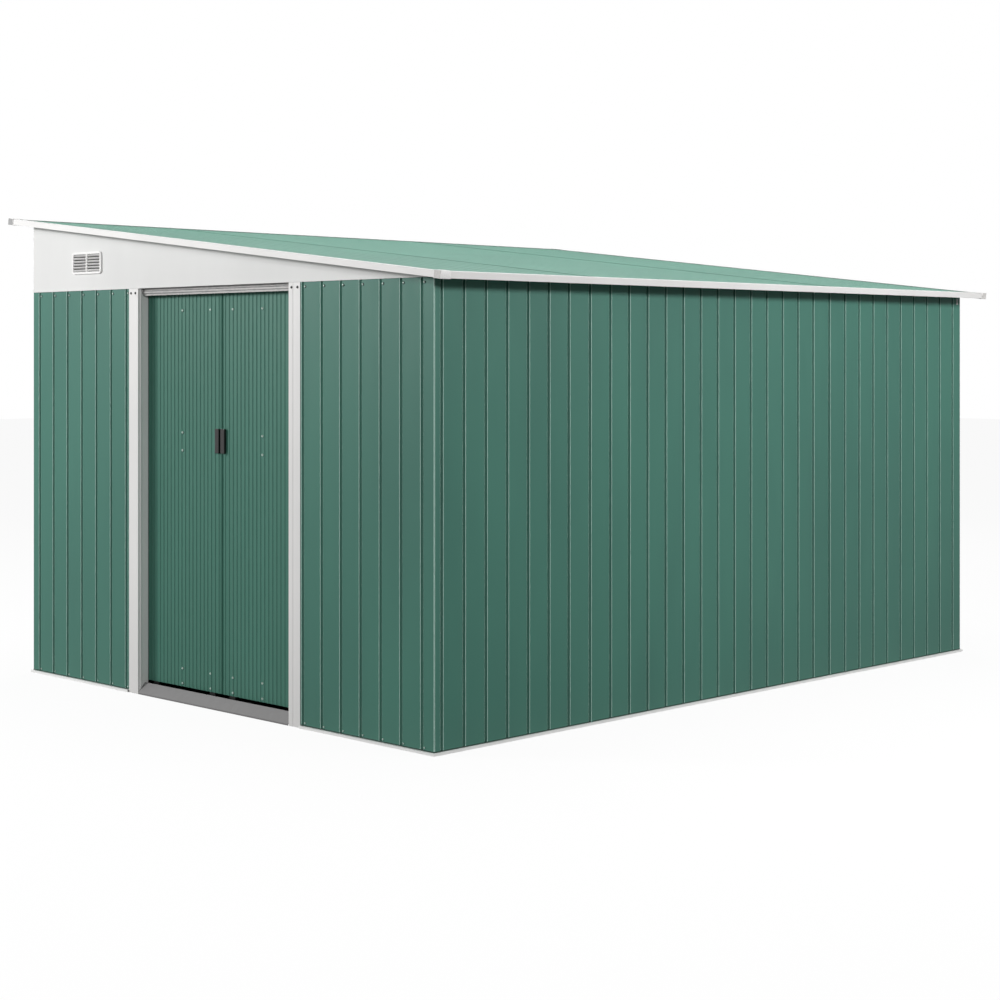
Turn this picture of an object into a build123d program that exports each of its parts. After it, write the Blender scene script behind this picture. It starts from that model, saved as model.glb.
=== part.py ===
"""Metal storage shed with a pent roof, two sliding doors and a ramp.

Millimetres, +Z up. The doors are in the front wall, which faces -Y, and the roof falls towards +X.
The origin is on the ground, at the middle of the plan.
"""
from build123d import *
from math import atan, cos, degrees, sin, tan, radians
import os

# Overall sizes
shed_width = 2480.0  # across the door front, between the flat faces of the side sheets
shed_depth = 3275.0  # along the side walls, between the flat faces of the front and back sheets
plate_line = 1610.0  # height of the lower edge of the white upper plates
roof_fall = 0.113  # fall of the roof for each unit of width
roof_rise = 21.0  # roof sheets above the plate line, over the low side wall
side_overhang = 96.0  # roof past the side walls
end_overhang = 60.0  # roof past the front and back walls

# Sheet metal
sheet = 1.2  # thickness of the walls, plates and roof
rail_sheet = 1.5  # thickness of the folded frame rails
seat = 0.3  # clearance between pieces that rest on each other

# Grooves pressed into the wall and roof sheets from outside
groove_pitch = 105.0
groove_depth = 8.0
groove_floor = 6.0
groove_mouth = 13.0
lap_gap = 112.5  # from a lap to the grooves beside it
lap_tail = 8.0  # sheet that lies past the lap's groove
side_first_groove = 35.0  # from the front corner to the first groove of a side wall
side_last_groove = 64.0  # from the last groove of a side wall to the back corner
front_lap = 777.0  # first lap of the side walls and roof, from the front
back_lap = 2262.0  # second lap, from the front
back_wall_lap = 777.0  # laps of the back wall, from either corner
back_corner_groove = 57.0  # from either back corner to the first groove of the back wall
right_corner_groove = 60.0  # from the front corner on the right to the first groove
right_post_groove = 14.0  # from the right door post to the nearest groove
left_corner_groove = 49.0  # from the front corner on the left to the first groove
left_post_groove = 21.0  # from the left door post to the nearest groove

# Base rail
rail_lip = 9.0  # height of the white lip below the wall sheets
rail_reach = 9.0  # lip past the flat face of the sheets
rail_upstand = 40.0  # what the wall sheets are screwed to
rail_flange = 34.0  # flange on the ground, from the upstand inwards
anchor_hole_radius = 4.5
anchor_inset_x = 22.0  # anchor holes from the flat face of the side sheets
anchor_inset_y = 300.0  # anchor holes from the flat face of the front and back sheets

# Doorway
opening_width = 944.0
post_width = 64.0
post_depth = 49.0  # return of a door post into the doorway
post_step = 1.2  # the part of the face beside the doorway stands this much forward
post_step_place = 40.0  # from the outer edge of the post
post_bead = 3.0  # step in the return
post_bead_start = 8.0
post_bead_end = 18.0
post_lip = 12.0  # last fold of the return, behind the wall sheet
post_cover = 12.0  # wall sheet behind the post

# Doors
door_play = 5.0  # from the posts' returns to the crests of the doors' ribs
door_overlap = 20.0  # door behind each post
door_gap = 5.0  # between the two doors
door_lap = 16.0  # top of the doors behind the fascia
door_bottom = 50.0
door_rib_pitch = 23.7
door_rib_height = 3.0
door_rib_crest = 5.0
door_rib_foot = 11.0
door_hem = 12.0  # flat strip at each edge of a door
stiffener_depth = 18.0
stiffener_lip = 9.0
lower_stiffener = 51.0  # height of its lower edge
lower_stiffener_height = 82.0
middle_stiffener_height = 100.0
middle_stiffener_drop = 9.0  # its middle below the middle of the handles
upper_stiffener_drop = 54.0  # from the door's top edge to the stiffener
upper_stiffener_height = 46.0
handle_width = 24.0
handle_length = 94.0
handle_depth = 10.0
handle_height = 1017.0  # height of the middle of a handle
handle_inset = 3.0  # from the door's meeting edge
handle_round = 3.5
handle_edge = 2.0  # rounding of the handle's face

# Head track and sliders
track_drop = 29.0  # from the plate line to the track's lower edge
track_front = 16.0  # from the flat face of the wall back to the track's face
track_fold = 3.0
track_hem = 10.0
track_rear_drop = 52.0
track_lip = 14.0
slider_length = 34.0
slider_height = 18.0
slider_depth = 18.0
hanger = 2.5  # plate that carries each slider, on the back of the upper stiffener
slider_inset = 60.0  # from the door's edges
tab_thickness = 5.0  # tabs under the doors, running in the lower guide
tab_foot = 6.0
guide_height = 14.0
guide_width = 36.0
guide_run = 960.0  # half of the lower guide's length

# Threshold ramp
ramp_rise = 44.0
ramp_back = 28.0  # from the flat face of the wall back to the ramp's upright
ramp_toe = 4.0  # toe past the flat face of the wall
ramp_nose = 6.0  # height of the toe
ramp_plate = 2.0

# Upper plates
drip_drop = 6.0  # fold at the foot of the plates, down over the wall sheets
vent_width = 210.0
vent_height = 90.0
vent_place = 406.0  # middle of the vent from the high corner
vent_rise = 113.0  # middle of the vent above the plate line
vent_corner = 14.0
vent_rim = 9.0  # width of the vent's frame
vent_proud = 6.0
vent_slats = 6
vent_slat = 2.4
vent_slat_share = 0.72  # depth of a slat as a share of the slats' spacing
vent_slat_tilt = -50.0
vent_bar = 7.0
vent_margin = 5.0  # of the vent's frame over its hole

# Frame inside
post_leg = 38.0  # legs of the corner posts
corner_clearance = 3.0  # from the corner posts to the roof
head_rail_height = 16.0
head_rail_width = 46.0
roof_rail_leg = 30.0
mid_rail_place = 800.0  # height of the middle rails' lower edge
mid_rail_height = 40.0
mid_rail_depth = 20.0
rafter_height = 28.0
rafter_width = 25.0
purlin_height = 28.0
purlin_width = 25.0
purlin_count = 3
rafter_place = 545.0  # rafters either side of the middle

# Roof trims
trim_height = 24.0
trim_over = 30.0  # flange over the roof sheets
trim_under = 18.0  # flange below the roof sheets
sheet_inset = 4.0  # roof sheets' edge behind the trim's web
cap_width = 33.0  # corner caps, along the front and back
cap_length = 46.0  # corner caps, along the sides
high_cap_width = 50.0  # caps of the high edge, along the front and back
high_cap_reach = 18.0  # how far the caps of the high edge stand out past its trim
cap_wall = 1.7

# Worked out from the sizes above
lap_raise = sheet + seat
groove_back = -groove_depth - sheet - seat
plate_back = -sheet - seat
drip_reach = lap_raise + seat + sheet
post_face = seat + sheet + post_step
return_end = post_face - post_depth
half_width = shed_width / 2
half_depth = shed_depth / 2
half_opening = opening_width / 2
slope = atan(roof_fall)
roof_half_x = half_width + side_overhang
roof_half_y = half_depth + end_overhang
roof_length = 2 * roof_half_x / cos(slope)
trim_top = sheet + lap_raise + seat + sheet
trim_bottom = trim_top - trim_height
sheet_line = plate_line + roof_rise - roof_fall * side_overhang
panel_width = half_width - half_opening - post_width
door_width = half_opening + door_overlap - door_gap / 2
door_top = plate_line - track_drop + door_lap
door_crest = return_end - door_play
door_face = door_crest - door_rib_height
stiffener_face = door_face - sheet - seat
slider_front = stiffener_face - stiffener_depth - seat
slider_back = slider_front - slider_depth
track_back = slider_back - seat - rail_sheet


def under_roof(x):
    """Height of the underside of the roof sheets over a place across the shed."""
    return sheet_line + roof_fall * (roof_half_x - x)


def wall_plane(out, along, height):
    """Level plane on a wall: x to the left as seen from outside, y out of the wall."""
    run = out.cross(Vector(0, 0, 1))
    origin = out * along + Vector(0, 0, height)
    return Plane(origin=origin, x_dir=run, z_dir=(0, 0, 1))


front = Vector(0, -1, 0)
back = Vector(0, 1, 0)
right = Vector(1, 0, 0)
left = Vector(-1, 0, 0)


def section_plane(out, along, start):
    """Upright plane across a rail on a wall: x out of the wall, y up, z along the wall."""
    run = out.cross(Vector(0, 0, 1))
    return Plane(origin=out * along + run * start, x_dir=out, z_dir=run)


def folded(points, thickness):
    """Outline of a strip folded along a line of points, thick to the left of the line."""
    ends = [Vector(*point) for point in points]
    runs = [(end - start).normalized() for start, end in zip(ends, ends[1:])]
    normals = [Vector(-run.Y, run.X) for run in runs]
    other = []
    for end, before, after in zip(ends, [normals[0], *normals], [*normals, normals[-1]]):
        other.append(end + (before + after) * (thickness / (1 + before.dot(after))))
    return [*ends, *reversed(other)]


def save(piece, name):
    """Label a finished piece and write its file."""
    piece.part.label = name
    export_step(piece.part, f"parts/{name}.step")


def even_places(first, last, pitch):
    """Even places from first to last, at about the pitch."""
    count = max(1, round((last - first) / pitch))
    return [first + (last - first) * index / count for index in range(count + 1)]


def fold(place, top, foot, height):
    """Four corners of one rib, or of one groove where the height is below zero."""
    return [
        (place - foot / 2, 0),
        (place - top / 2, height),
        (place + top / 2, height),
        (place + foot / 2, 0),
    ]


def pressed(start, end, places, top, foot, height):
    """Outline of a sheet with even ribs or grooves pressed into it."""
    points = [(start, 0)]
    for place in places:
        points += fold(place, top, foot, height)
    points.append((end, 0))
    return points + [(s, v - sheet) for s, v in reversed(points)]


def grooved(start, end, places, laid_under=False, laps_over=False):
    """Outline of a grooved sheet. Where two sheets lap, the groove of one lies in the other's."""
    points = fold(start, groove_floor, groove_mouth, -groove_depth)[2:] if laid_under else [(start, 0)]
    if laid_under:
        points.insert(0, (start, -groove_depth))
    for place in places:
        points += fold(place, groove_floor, groove_mouth, -groove_depth)
    if laps_over:
        points += [
            (end - groove_mouth / 2, 0),
            (end - groove_floor / 2, lap_raise - groove_depth),
            (end + groove_floor / 2, lap_raise - groove_depth),
            (end + groove_mouth / 2, lap_raise),
            (end + groove_mouth / 2 + lap_tail, lap_raise),
        ]
    else:
        points.append((end, 0))
    return points + [(s, v - sheet) for s, v in reversed(points)]


def sheet_runs(length, laps, first, last):
    """Start, end, grooves and laps of each sheet along one wall."""
    edges = [0.0, *laps, length]
    runs = []
    for index, (start, end) in enumerate(zip(edges, edges[1:])):
        laid_under = index > 0
        laps_over = index < len(laps)
        first_groove = start + (lap_gap if laid_under else first)
        last_groove = end - (lap_gap if laps_over else last)
        places = even_places(first_groove, last_groove, groove_pitch)
        runs.append((start, end, places, laid_under, laps_over))
    return runs


os.makedirs("parts", exist_ok=True)

# Wall sheets beside the doorway
wall_foot = rail_lip + seat
tall_height = plate_line + drip_drop - seat - wall_foot
front_plane = wall_plane(front, half_depth, wall_foot)
front_width = panel_width + post_cover
right_grooves = even_places(right_corner_groove, panel_width - right_post_groove, groove_pitch)
left_grooves = even_places(front_width - panel_width + left_post_groove, front_width - left_corner_groove, groove_pitch)

with BuildPart() as front_wall_right:
    with BuildSketch(front_plane.shift_origin(front_plane.from_local_coords((-half_width, 0, 0)))):
        Polygon(*grooved(0, front_width, right_grooves), align=None)
    extrude(amount=tall_height)
save(front_wall_right, "front_wall_right")

with BuildPart() as front_wall_left:
    with BuildSketch(front_plane.shift_origin(front_plane.from_local_coords((half_width - front_width, 0, 0)))):
        Polygon(*grooved(0, front_width, left_grooves), align=None)
    extrude(amount=tall_height)
save(front_wall_left, "front_wall_left")

# Side walls: the low one on the right, the high one on the left
side_inner = sheet + seat
side_length = shed_depth - 2 * side_inner
side_laps = [front_lap - side_inner, back_lap - side_inner]
side_runs = sheet_runs(side_length, side_laps, side_first_groove - side_inner, side_last_groove - side_inner)
side_names = ["front", "middle", "back"]
groove_drop = groove_depth / cos(slope)
low_wall_height = under_roof(half_width + lap_raise) - groove_drop - 3 * seat - wall_foot

for run, place in zip(side_runs, side_names):
    outline = grooved(*run)
    left_plane = wall_plane(left, half_width, wall_foot)
    left_start = left_plane.from_local_coords((-half_depth + side_inner, 0, 0))
    with BuildPart() as left_wall:
        with BuildSketch(left_plane.shift_origin(left_start)):
            Polygon(*outline, align=None)
        extrude(amount=tall_height)
    save(left_wall, f"left_wall_{place}")

    with BuildPart() as tall_sheet:
        with BuildSketch(left_plane.shift_origin(left_start)):
            Polygon(*outline, align=None)
        extrude(amount=low_wall_height)
    with BuildPart() as right_wall:
        add(mirror(tall_sheet.part, about=Plane.YZ, mode=Mode.PRIVATE))
    save(right_wall, f"right_wall_{place}")

# Back wall
back_laps = [back_wall_lap, shed_width - back_wall_lap]
back_runs = sheet_runs(shed_width, back_laps, back_corner_groove, back_corner_groove)
back_names = ["right", "middle", "left"]
back_plane = wall_plane(back, half_depth, wall_foot)

for run, place in zip(back_runs, back_names):
    back_start = back_plane.from_local_coords((-half_width, 0, 0))
    with BuildPart() as back_wall:
        with BuildSketch(back_plane.shift_origin(back_start)):
            Polygon(*grooved(*run), align=None)
        extrude(amount=tall_height)
    save(back_wall, f"back_wall_{place}")

# Base rails, mitred at the corners of the shed
upstand_face = groove_back
upstand_back = upstand_face - rail_sheet
flange_end = upstand_back - rail_flange
base_points = [
    (upstand_face, rail_lip + rail_upstand),
    (upstand_face, rail_lip),
    (rail_reach, rail_lip),
    (rail_reach, 0),
    (flange_end, 0),
]
base_outline = folded(base_points, -rail_sheet)


def base_rail(out, along, start, end, mitre_start, mitre_end, holes):
    """A base rail between two places along a wall, with its anchor holes."""
    level = wall_plane(out, along, 0)
    with BuildPart() as rail:
        with BuildSketch(section_plane(out, along, start)):
            Polygon(*base_outline, align=None)
        extrude(amount=end - start)
        if mitre_start:
            origin = level.from_local_coords((start + seat / 2, rail_reach, 0))
            split(bisect_by=Plane(origin=origin, z_dir=level.x_dir + level.y_dir), keep=Keep.TOP)
        if mitre_end:
            origin = level.from_local_coords((end - seat / 2, rail_reach, 0))
            split(bisect_by=Plane(origin=origin, z_dir=level.x_dir - level.y_dir), keep=Keep.BOTTOM)
        for hole in holes:
            with Locations(level.from_local_coords(hole)):
                Cylinder(anchor_hole_radius, 4 * rail_sheet, mode=Mode.SUBTRACT)
    return rail


side_run = half_depth + rail_reach
front_run = half_width + rail_reach
post_edge = half_opening + post_width + seat
side_holes = [(place, -anchor_inset_x, 0) for place in (anchor_inset_y - half_depth, half_depth - anchor_inset_y)]
save(base_rail(right, half_width, -side_run, side_run, True, True, side_holes), "base_rail_right")
save(base_rail(left, half_width, -side_run, side_run, True, True, side_holes), "base_rail_left")
save(base_rail(back, half_depth, -front_run, front_run, True, True, []), "base_rail_back")
with BuildPart() as base_rail_front:
    add(base_rail(front, half_depth, -front_run, -post_edge, True, False, []).part)
    mirror(about=Plane.YZ)
save(base_rail_front, "base_rail_front")

# Door posts, with a beaded return into the doorway
post_points = [
    (0, post_face - post_step),
    (post_step_place, post_face - post_step),
    (post_step_place + post_step, post_face),
    (post_width, post_face),
    (post_width, post_face - post_bead_start),
    (post_width + post_bead, post_face - post_bead_start - post_bead),
    (post_width + post_bead, post_face - post_bead_end + post_bead),
    (post_width, post_face - post_bead_end),
    (post_width, return_end),
    (post_width - post_lip, return_end),
]
post_outline = folded(post_points, -sheet)
post_plane = wall_plane(front, half_depth, 0)

with BuildPart() as door_post_right:
    with BuildSketch(post_plane.shift_origin(post_plane.from_local_coords((-half_opening - post_width, 0, 0)))):
        Polygon(*post_outline, align=None)
    extrude(amount=plate_line - seat)
save(door_post_right, "door_post_right")

with BuildPart() as door_post_left:
    add(mirror(door_post_right.part, about=Plane.YZ, mode=Mode.PRIVATE))
save(door_post_left, "door_post_left")

# Threshold ramp and the guide behind it
ramp_length = opening_width - 2 * (post_bead + seat)
ramp_points = [(-ramp_back, 0), (-ramp_back, ramp_rise), (ramp_toe, ramp_nose), (ramp_toe, 0)]
with BuildPart() as threshold_ramp:
    with BuildSketch(section_plane(front, half_depth, -ramp_length / 2)):
        Polygon(*folded(ramp_points, -ramp_plate), align=None)
    extrude(amount=ramp_length)
save(threshold_ramp, "threshold_ramp")

guide_front = min(flange_end, return_end) - seat
guide_points = [
    (guide_front, guide_height),
    (guide_front, 0),
    (guide_front - guide_width, 0),
    (guide_front - guide_width, guide_height),
]
with BuildPart() as lower_guide:
    with BuildSketch(section_plane(front, half_depth, -guide_run)):
        Polygon(*folded(guide_points, -rail_sheet), align=None)
    extrude(amount=2 * guide_run)
save(lower_guide, "lower_guide")

# Head track above the doors and the fascia in front of it
fascia_foot = plate_line - track_drop
fascia_run = half_opening - post_bead - seat
fascia_points = [
    (return_end, plate_line - seat),
    (-track_front - track_fold, plate_line - seat),
    (-track_front - track_fold, plate_line - track_drop / 3),
    (-track_front, plate_line - track_drop / 3 - track_fold),
    (-track_front, plate_line - track_drop * 2 / 3),
    (-track_front - track_fold, plate_line - track_drop * 2 / 3 - track_fold),
    (-track_front - track_fold, fascia_foot),
    (-track_front - track_hem, fascia_foot),
]
with BuildPart() as head_fascia:
    with BuildSketch(section_plane(front, half_depth, -fascia_run)):
        Polygon(*folded(fascia_points, -sheet), align=None)
    extrude(amount=2 * fascia_run)
save(head_fascia, "head_fascia")

track_foot = plate_line - track_rear_drop
track_points = [
    (return_end - seat, plate_line - seat),
    (track_back, plate_line - seat),
    (track_back, track_foot),
    (track_back + track_lip, track_foot),
]
with BuildPart() as head_track:
    with BuildSketch(section_plane(front, half_depth, -guide_run)):
        Polygon(*folded(track_points, rail_sheet), align=None)
    extrude(amount=2 * guide_run)
save(head_track, "head_track")

# Upper plates: flat sheets with a drip fold over the wall sheets
plate_foot = plate_line + drip_drop
drip_points = [(0, plate_foot + sheet), (drip_reach, plate_foot + sheet), (drip_reach, plate_line)]
drip_outline = folded(drip_points, -sheet)
vent_x = vent_place - half_width
vent_z = plate_line + vent_rise
gable_corners = [
    (-half_width, plate_foot),
    (half_width, plate_foot),
    (half_width, under_roof(half_width) - 2 * seat),
    (-half_width, under_roof(-half_width) - 2 * seat),
]
front_face = Plane(origin=front * half_depth, x_dir=(1, 0, 0), z_dir=(0, -1, 0))

with BuildPart() as gable_plate_front:
    with BuildSketch(front_face):
        Polygon(*gable_corners, align=None)
        with Locations((vent_x, vent_z)):
            RectangleRounded(
                vent_width - 2 * vent_margin,
                vent_height - 2 * vent_margin,
                vent_corner - vent_margin,
                mode=Mode.SUBTRACT,
            )
    extrude(amount=-sheet)
    with BuildSketch(section_plane(front, half_depth, -half_width)):
        Polygon(*drip_outline, align=None)
    extrude(amount=shed_width + drip_reach)
save(gable_plate_front, "gable_plate_front")

with BuildPart() as gable_plate_back:
    add(mirror(gable_plate_front.part, about=Plane.XZ, mode=Mode.PRIVATE))
save(gable_plate_back, "gable_plate_back")

with BuildPart() as high_plate:
    with BuildSketch(Plane(origin=left * half_width, x_dir=(0, -1, 0), z_dir=(-1, 0, 0))):
        with Locations((0, plate_foot)):
            high_plate_height = under_roof(-half_width) - groove_drop - 2 * seat - plate_foot
            Rectangle(side_length, high_plate_height, align=(Align.CENTER, Align.MIN))
    extrude(amount=-sheet)
    with BuildSketch(section_plane(left, half_width, -half_depth + seat)):
        Polygon(*drip_outline, align=None)
    extrude(amount=shed_depth - 2 * seat)
save(high_plate, "high_plate")

# Louvred vents in the gable plates
vent_inner_width = vent_width - 2 * vent_rim
vent_inner_height = vent_height - 2 * vent_rim
slat_pitch = vent_inner_height / vent_slats
vent_slat_run = vent_inner_width + vent_rim - vent_margin
vent_face = Plane(origin=front * (half_depth + seat), x_dir=(1, 0, 0), z_dir=(0, -1, 0))

with BuildPart() as vent_front:
    with BuildSketch(vent_face):
        with Locations((vent_x, vent_z)):
            RectangleRounded(vent_width, vent_height, vent_corner)
            Rectangle(vent_inner_width, vent_inner_height, mode=Mode.SUBTRACT)
            Rectangle(vent_bar, vent_height - vent_rim)
    extrude(amount=vent_proud)
    with BuildSketch(section_plane(front, half_depth + seat, -vent_x - vent_slat_run / 2)):
        with Locations((vent_proud / 2, vent_z)):
            with GridLocations(0, slat_pitch, 1, vent_slats):
                Rectangle(vent_slat, slat_pitch * vent_slat_share, rotation=vent_slat_tilt)
    extrude(amount=vent_slat_run)
save(vent_front, "vent_front")

with BuildPart() as vent_back:
    add(mirror(vent_front.part, about=Plane.XZ, mode=Mode.PRIVATE))
save(vent_back, "vent_back")

# Corner posts, inside the walls
post_inset = -upstand_back + seat
corner_foot = rail_sheet + seat
corner_points = [(post_leg, 0), (0, 0), (0, post_leg)]
corner_outline = folded(corner_points, -rail_sheet)
post_gap = groove_drop + corner_clearance + corner_foot
low_post_height = under_roof(half_width) - post_gap
high_post_height = under_roof(-half_width + post_inset + post_leg) - post_gap
low_corner = Plane(origin=(half_width - post_inset, post_inset - half_depth, corner_foot), x_dir=(0, 1, 0))
high_corner = Plane(origin=(post_inset - half_width, post_inset - half_depth, corner_foot))

with BuildPart() as corner_posts:
    with BuildSketch(low_corner):
        Polygon(*corner_outline, align=None)
    extrude(amount=low_post_height)
    with BuildSketch(high_corner):
        Polygon(*folded(corner_points[::-1], rail_sheet), align=None)
    extrude(amount=high_post_height)
    mirror(about=Plane.XZ)
save(corner_posts, "corner_posts")

# Rails between the corner posts
rail_inset = max(post_inset + post_leg, head_rail_width - upstand_face) + seat
cross_run = half_width - rail_inset
long_run = half_depth - rail_inset


def rail_between(out, along, run, points):
    """A folded rail along a wall, between the corner posts."""
    with BuildPart() as rail:
        with BuildSketch(section_plane(out, along, -run)):
            Polygon(*folded(points, -rail_sheet), align=None)
        extrude(amount=2 * run)
    return rail


def angle_points(foot, height, width):
    """Line of an angle rail: up the wall, with its shelf at the foot."""
    return [(upstand_face, foot + height), (upstand_face, foot), (upstand_face - width, foot)]


def shelf_points(face, top, leg):
    """Line of an angle rail with its shelf at the top."""
    return [(face - leg, top), (face, top), (face, top - leg)]


def hat_points(foot, height, depth):
    """Line of a channel rail that is open towards the wall."""
    return [
        (upstand_face, foot),
        (upstand_face - depth, foot),
        (upstand_face - depth, foot + height),
        (upstand_face, foot + height),
    ]


head_points = angle_points(plate_line, head_rail_height, head_rail_width)
save(rail_between(front, half_depth, cross_run, head_points), "head_rail_front")
save(rail_between(back, half_depth, cross_run, head_points), "head_rail_back")
save(rail_between(left, half_width, long_run, head_points), "head_rail_left")

frame_drop = (groove_depth + 2 * seat + rafter_height + seat + purlin_height) / cos(slope)
low_shelf = under_roof(half_width + upstand_face) - frame_drop
high_shelf = under_roof(-half_width - plate_back + roof_rail_leg) - frame_drop
low_rail_points = shelf_points(upstand_face, low_shelf, roof_rail_leg)
high_rail_points = shelf_points(plate_back, high_shelf, roof_rail_leg)
save(rail_between(right, half_width, long_run, low_rail_points), "roof_rail_low")
save(rail_between(left, half_width, long_run, high_rail_points), "roof_rail_high")

mid_points = hat_points(mid_rail_place, mid_rail_height, mid_rail_depth)
save(rail_between(right, half_width, long_run, mid_points), "mid_rail_right")
save(rail_between(left, half_width, long_run, mid_points), "mid_rail_left")
save(rail_between(back, half_depth, cross_run, mid_points), "mid_rail_back")

# Roof: everything on it is drawn square to the slope, from its low edge
up_slope = Vector(-cos(slope), 0, sin(slope))
square = Vector(sin(slope), 0, cos(slope))
low_edge = Vector(roof_half_x, 0, sheet_line)


def slope_plane(distance, across=0.0):
    """Plane across the slope: x towards the front, y square to the roof, z up the slope."""
    origin = low_edge + up_slope * distance + front * across
    return Plane(origin=origin, x_dir=front, z_dir=up_slope)


def slope_place(x):
    """Distance up the slope of a place across the shed."""
    return (roof_half_x - x) / cos(slope)


roof_run = 2 * (roof_half_y - sheet_inset)
roof_laps = [roof_half_y - sheet_inset + half_depth - back_lap, roof_half_y - sheet_inset + half_depth - front_lap]
roof_start = slope_plane(sheet_inset, sheet_inset - roof_half_y)
roof_runs = sheet_runs(
    roof_run,
    roof_laps,
    side_last_groove + end_overhang - sheet_inset,
    side_first_groove + end_overhang - sheet_inset,
)

for run, place in zip(roof_runs, ["back", "middle", "front"]):
    with BuildPart() as roof_sheet:
        with BuildSketch(Plane(origin=roof_start.origin + square * sheet, x_dir=front, z_dir=up_slope)):
            Polygon(*grooved(*run), align=None)
        extrude(amount=roof_length - 2 * sheet_inset)
    save(roof_sheet, f"roof_sheet_{place}")

# Roof trims, mitred at the corners
side_trim_points = [(trim_under, trim_bottom), (0, trim_bottom), (0, trim_top), (trim_over, trim_top)]
end_trim_points = [
    (roof_half_y - trim_under, trim_bottom),
    (roof_half_y, trim_bottom),
    (roof_half_y, trim_top),
    (roof_half_y - trim_over, trim_top),
]
low_corner_place = low_edge + front * roof_half_y
high_corner_place = low_corner_place + up_slope * roof_length
low_mitre = up_slope + front
high_mitre = front - up_slope
mitre_gap = seat / 2
mid_slope = Plane(origin=low_edge + up_slope * (roof_length / 2), z_dir=up_slope)

with BuildPart() as roof_trim_low:
    with BuildSketch(Plane(origin=low_corner_place, x_dir=up_slope, z_dir=back)):
        Polygon(*folded(side_trim_points, -sheet), align=None)
    extrude(amount=roof_half_y)
    split(bisect_by=Plane(origin=low_corner_place - front * mitre_gap, z_dir=low_mitre), keep=Keep.BOTTOM)
    mirror(about=Plane.XZ)
save(roof_trim_low, "roof_trim_low")

with BuildPart() as roof_trim_high:
    add(mirror(roof_trim_low.part, about=mid_slope, mode=Mode.PRIVATE))
save(roof_trim_high, "roof_trim_high")

with BuildPart() as roof_trim_front:
    with BuildSketch(slope_plane(0)):
        Polygon(*folded(end_trim_points, sheet), align=None)
    extrude(amount=roof_length)
    split(bisect_by=Plane(origin=low_corner_place + front * mitre_gap, z_dir=low_mitre), keep=Keep.TOP)
    split(bisect_by=Plane(origin=high_corner_place + front * mitre_gap, z_dir=high_mitre), keep=Keep.TOP)
save(roof_trim_front, "roof_trim_front")

with BuildPart() as roof_trim_back:
    add(mirror(roof_trim_front.part, about=Plane.XZ, mode=Mode.PRIVATE))
save(roof_trim_back, "roof_trim_back")

# Hollow caps over the corners of the trims
cap_proud = cap_wall + seat
cap_middle = (trim_top + trim_bottom) / 2
cap_ends = [  # corner, direction from it to the shed, width and reach
    (low_corner_place, 1, cap_width, 0),
    (high_corner_place, -1, high_cap_width, high_cap_reach),
]
with BuildPart() as corner_caps:
    for corner, inwards, cap_run, reach in cap_ends:
        cap_plane = Plane(origin=corner + square * cap_middle, x_dir=up_slope, z_dir=square)
        for wall, opened, mode in [(cap_proud, 0, Mode.ADD), (seat, cap_wall, Mode.SUBTRACT)]:
            width = reach + wall + cap_run + opened
            length = wall + cap_length + opened
            with BuildSketch(cap_plane.offset(-trim_height / 2 - wall)):
                with Locations((inwards * (width / 2 - reach - wall), wall - length / 2)):
                    Rectangle(width, length)
            extrude(amount=trim_height + 2 * wall, mode=mode)
    mirror(about=Plane.XZ)
save(corner_caps, "corner_caps")

# Rafters and purlins
purlin_top = -groove_depth - seat
rafter_top = purlin_top - purlin_height - seat
rafter_lean = (rafter_height - rafter_top) * sin(slope)
rafter_start = slope_place(half_width + groove_back - seat)
rafter_length = slope_place(rafter_lean - half_width - plate_back + seat) - rafter_start
rafter_points = [
    (rafter_width, rafter_top),
    (0, rafter_top),
    (0, rafter_top - rafter_height),
    (rafter_width, rafter_top - rafter_height),
]
with BuildPart() as rafters:
    with BuildSketch(slope_plane(rafter_start, rafter_place)):
        Polygon(*folded(rafter_points, rail_sheet), align=None)
    extrude(amount=rafter_length)
    mirror(about=Plane.XZ)
save(rafters, "rafters")

purlin_points = [
    (purlin_width, purlin_top),
    (0, purlin_top),
    (0, purlin_top - purlin_height),
    (purlin_width, purlin_top - purlin_height),
]
purlin_end = half_depth + plate_back - rail_sheet - seat
with BuildPart() as purlins:
    for index in range(purlin_count):
        place = slope_place(half_width - shed_width * (index + 1) / (purlin_count + 1))
        with BuildSketch(Plane(origin=low_edge + up_slope * place + front * purlin_end, x_dir=up_slope, z_dir=back)):
            Polygon(*folded(purlin_points, rail_sheet), align=None)
        extrude(amount=2 * purlin_end)
save(purlins, "purlins")

# Sloping rails inside the gable plates, with a shelf under the purlins
gable_face = half_depth + plate_back
gable_shelf = purlin_top - purlin_height - seat - rail_sheet
gable_points = [(gable_face, -seat), (gable_face, gable_shelf), (gable_face - roof_rail_leg, gable_shelf)]
gable_clear = plate_line + head_rail_height + seat - gable_shelf / cos(slope)
gable_start = (gable_clear - sheet_line) / sin(slope)
gable_end = slope_place(-cross_run - gable_shelf * sin(slope))
with BuildPart() as gable_rail_front:
    with BuildSketch(slope_plane(gable_start)):
        Polygon(*folded(gable_points, -rail_sheet), align=None)
    extrude(amount=gable_end - gable_start)
save(gable_rail_front, "gable_rail_front")

with BuildPart() as gable_rail_back:
    add(mirror(gable_rail_front.part, about=Plane.XZ, mode=Mode.PRIVATE))
save(gable_rail_back, "gable_rail_back")

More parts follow.
